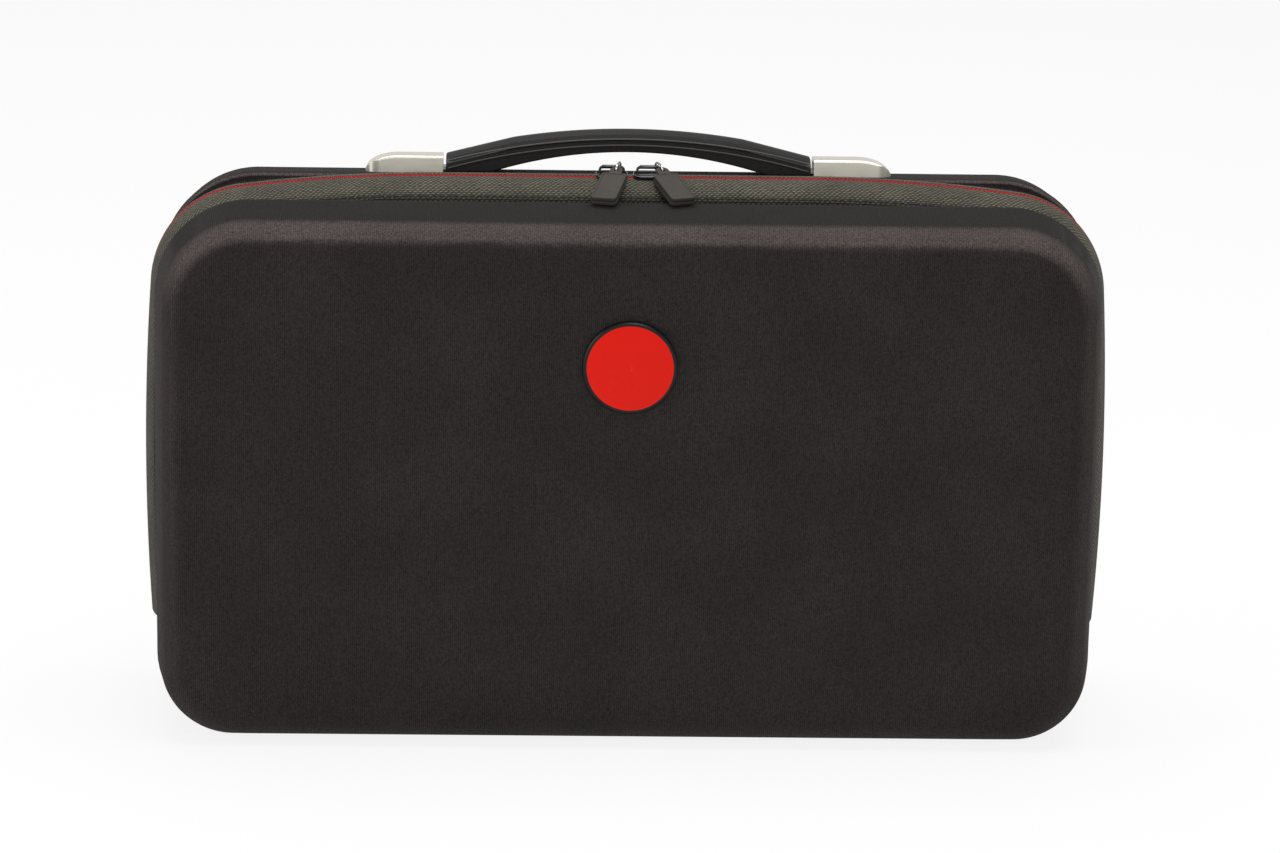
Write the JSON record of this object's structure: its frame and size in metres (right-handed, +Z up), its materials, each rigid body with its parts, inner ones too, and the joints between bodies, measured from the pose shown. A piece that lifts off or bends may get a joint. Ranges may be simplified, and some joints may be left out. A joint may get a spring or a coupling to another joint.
{
  "type": "zipped moulded carry case for harmonicas",
  "caption": "Moulded zip case covered in dark twill, with a hinged lid, two zip sliders, an arched handle and foam inserts with slots for harmonicas.",
  "frame": {"origin": "Centre of the footprint under the parting line, at the level of the lowest point of the standing case.", "axes": "+X along the length to the viewer's right, +Y from the lid towards the back of the base, +Z up; the lid faces -Y."},
  "size_m": [0.4006, 0.1115, 0.2415],
  "materials": {
    "shell_cloth": "tightly woven dark charcoal-brown twill laminated to a moulded foam shell",
    "lining_cloth": "smooth black brushed lining",
    "zip_tape": "dark olive-grey woven zip tape",
    "zip_coil": "red nylon coil",
    "trim_cloth": "black woven binding and webbing",
    "slider_metal": "glossy black enamelled slider",
    "wire": "bright nickel-plated wire",
    "tab_rubber": "moulded dark grey rubber tab, bare",
    "badge_red": "clear-domed red disc, bare",
    "badge_black": "black moulded rim",
    "cap_metal": "pale champagne metallic cap",
    "grip_rubber": "moulded black grip with fine ribs",
    "strap_steel": "spring steel strap",
    "screw_steel": "plain steel screws",
    "plate": "black backing plate",
    "insert_foam": "black closed-cell foam with a flocked face",
    "hook_strip": "black hook-and-loop strip",
    "pocket_net": "black knitted net"
  },
  "bodies": {
    "base": {"base_shell": "shell_cloth", "base_lining": "lining_cloth", "base_zip_tape": "zip_tape", "base_zip_coil": "zip_coil", "base_binding": "trim_cloth", "base_hinge_webbing": "trim_cloth", "base_zip_ends": "trim_cloth", "left_handle_cap": "cap_metal", "right_handle_cap": "cap_metal", "handle_screws": "screw_steel", "handle_plates": "plate", "left_insert_block": "insert_foam", "middle_insert_block": "insert_foam", "right_insert_block": "insert_foam", "left_insert_floor": "insert_foam", "middle_insert_floor": "insert_foam", "right_insert_floor": "insert_foam", "hook_strips": "hook_strip"},
    "lid": {"lid_shell": "shell_cloth", "lid_lining": "lining_cloth", "lid_zip_tape": "zip_tape", "lid_zip_coil": "zip_coil", "lid_binding": "trim_cloth", "lid_hinge_webbing": "trim_cloth", "lid_zip_ends": "trim_cloth", "badge_rim": "badge_black", "badge_disc": "badge_red", "pocket_net": "pocket_net", "pocket_hem": "trim_cloth"},
    "handle": {"handle_grip": "grip_rubber", "handle_strap": "strap_steel"},
    "slider_left": {"left_slider": "slider_metal"},
    "slider_right": {"right_slider": "slider_metal"},
    "link_left": {"left_pull_link": "wire"},
    "link_right": {"right_pull_link": "wire"},
    "tab_left": {"left_pull_tab": "tab_rubber"},
    "tab_right": {"right_pull_tab": "tab_rubber"}
  },
  "joints": [
    {"name": "lid_hinge", "type": "hinge", "parent": "base", "child": "lid", "pos_m": [0, 0, -0.00015], "axis": [1, 0, 0], "range_deg": [0, 180]},
    {"name": "left_slider_run", "type": "slide", "parent": "lid", "child": "slider_left", "axis": [-1, 0, 0], "range_m": [0, 0.06]},
    {"name": "right_slider_run", "type": "slide", "parent": "lid", "child": "slider_right", "axis": [1, 0, 0], "range_m": [0, 0.06]},
    {"name": "left_link_lift", "type": "hinge", "parent": "slider_left", "child": "link_left", "pos_m": [-0.0044, 0, 0.2356], "axis": [-0.9715, 0.2368, 0], "range_deg": [0, 110]},
    {"name": "right_link_lift", "type": "hinge", "parent": "slider_right", "child": "link_right", "pos_m": [0.0111, 0, 0.2356], "axis": [-0.9397, -0.342, 0], "range_deg": [0, 110]},
    {"name": "left_tab_swing", "type": "hinge", "parent": "link_left", "child": "tab_left", "pos_m": [-0.00539, -0.00408, 0.2356], "axis": [-0.9715, 0.2368, 0], "range_deg": [0, 40]},
    {"name": "right_tab_swing", "type": "hinge", "parent": "link_right", "child": "tab_right", "pos_m": [0.01254, -0.00395, 0.2356], "axis": [-0.9397, -0.342, 0], "range_deg": [0, 40]},
    {"name": "handle_lift", "type": "slide", "parent": "base", "child": "handle", "axis": [0, 0.1426, 0.9898], "range_m": [0, 0.0025]}
  ]
}
